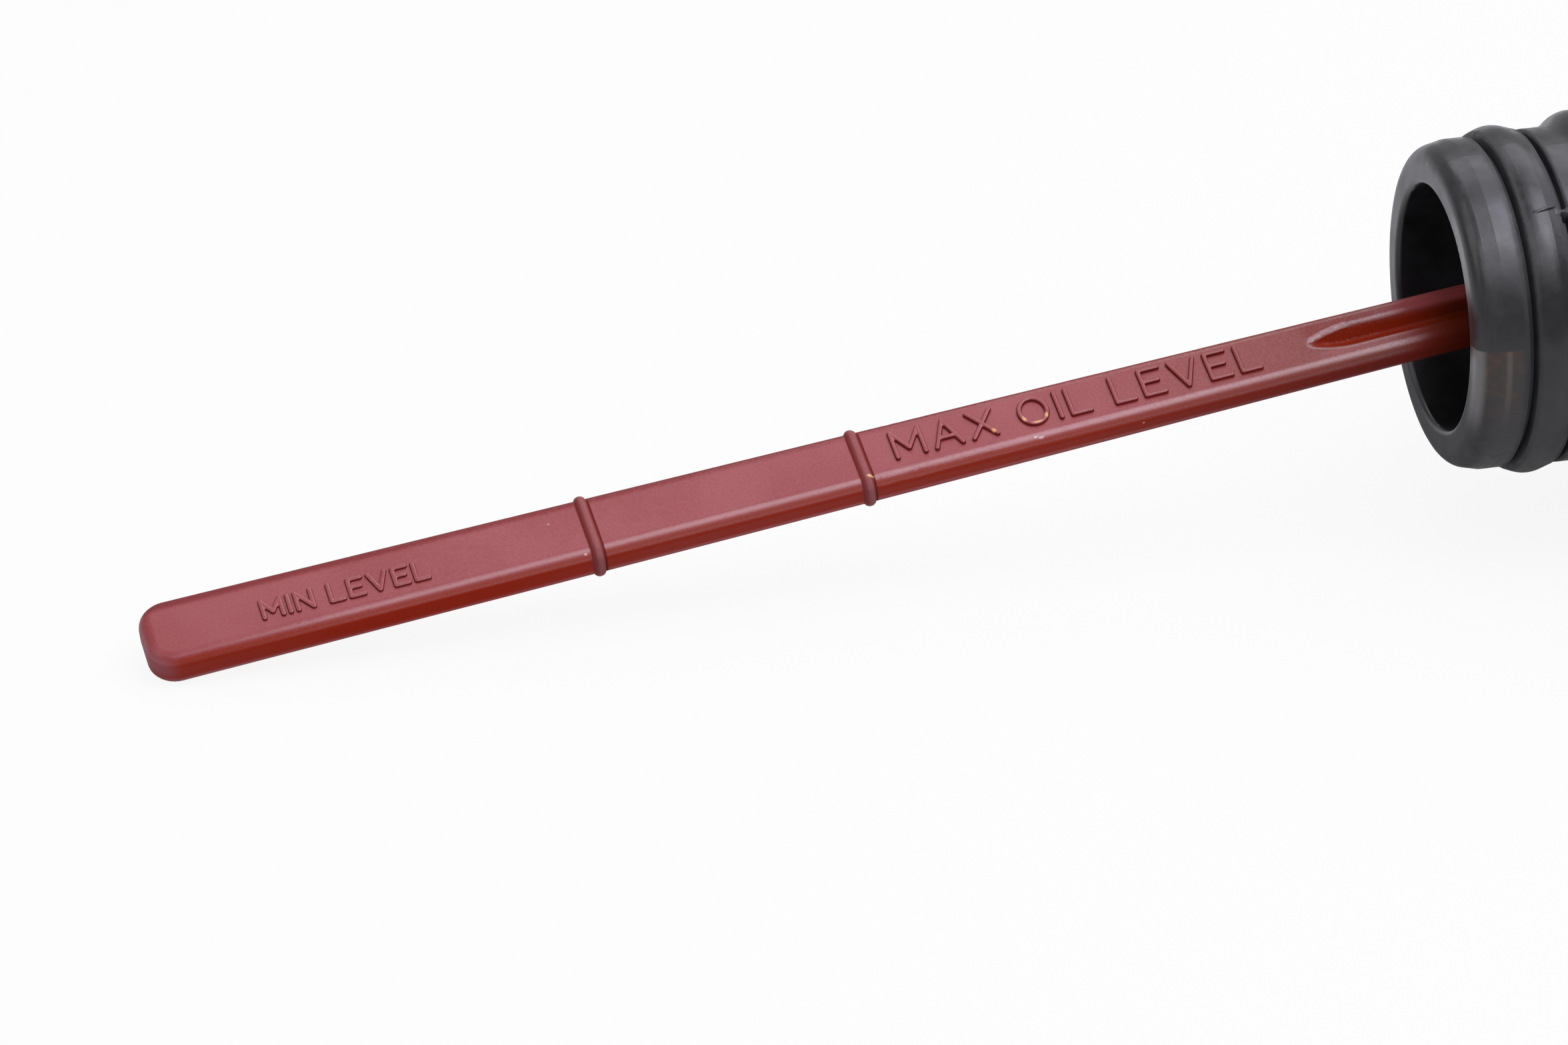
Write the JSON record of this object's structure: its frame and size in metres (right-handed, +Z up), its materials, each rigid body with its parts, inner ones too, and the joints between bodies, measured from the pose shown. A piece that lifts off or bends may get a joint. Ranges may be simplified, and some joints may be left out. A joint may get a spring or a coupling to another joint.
{
  "type": "engine oil dipstick",
  "caption": "Short engine oil dipstick: tapered red plastic gauge blade with moulded level beads, pressed into a hollow ribbed black rubber sealing plug with a round head.",
  "frame": {"origin": "on the surface that the dipstick lies on, under the middle of its bounding box", "axes": "+X along the plug's axis from the blade towards the head, +Z up, blade drooping to -X"},
  "size_m": [0.1456, 0.0468, 0.0438],
  "materials": {
    "blade_plastic": "satin moulded nylon, dull red",
    "plug_rubber": "satin black moulded rubber with light scuffs"
  },
  "bodies": {
    "root": {"gauge_blade": "blade_plastic", "sealing_plug": "plug_rubber"}
  },
  "joints": []
}
